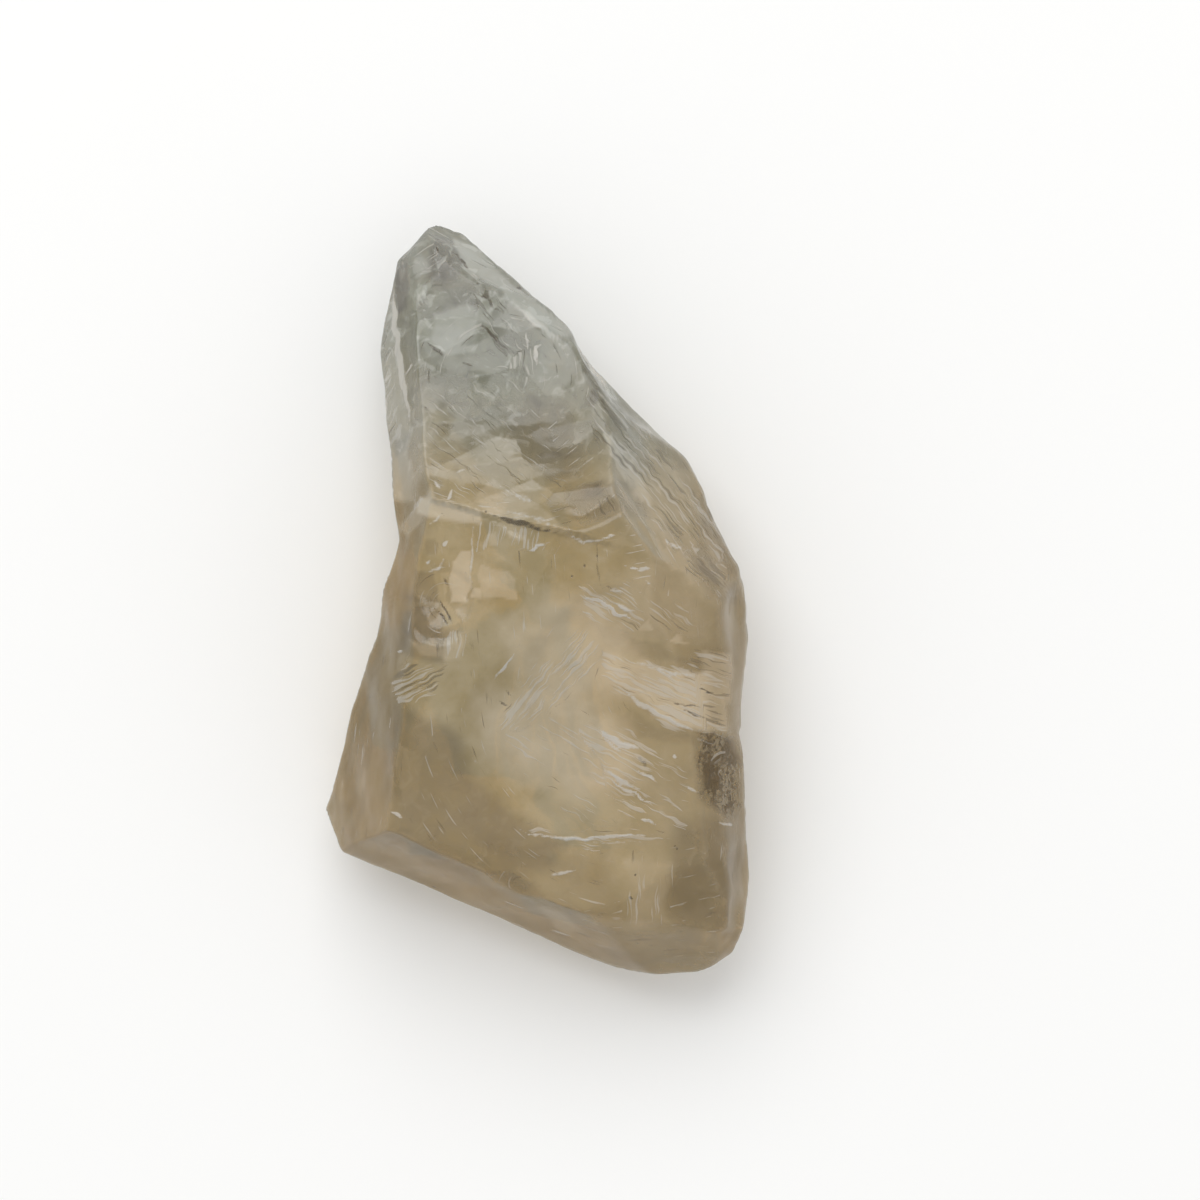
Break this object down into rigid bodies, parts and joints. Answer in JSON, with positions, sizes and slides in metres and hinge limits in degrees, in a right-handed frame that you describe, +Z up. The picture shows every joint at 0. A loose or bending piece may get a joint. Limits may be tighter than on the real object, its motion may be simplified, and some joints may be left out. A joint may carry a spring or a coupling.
{
  "type": "raw smoky quartz",
  "caption": "Raw broken lump of pale honey smoky quartz with a clear grey tip, flat and bowl-shaped fracture faces and a step across the top, lying on a flat underside.",
  "frame": {"origin": "middle of the bounding box's underside, on the flat face that the lump lies on", "axes": "+Z up from the resting face, +Y along the lump's length towards its clear tip, +X to the right seen from above"},
  "size_m": [0.0356, 0.0628, 0.0208],
  "materials": {
    "quartz": "hazy see-through honey grey, broken faces half dull"
  },
  "bodies": {
    "root": {"smoky_quartz": "quartz"}
  },
  "joints": []
}
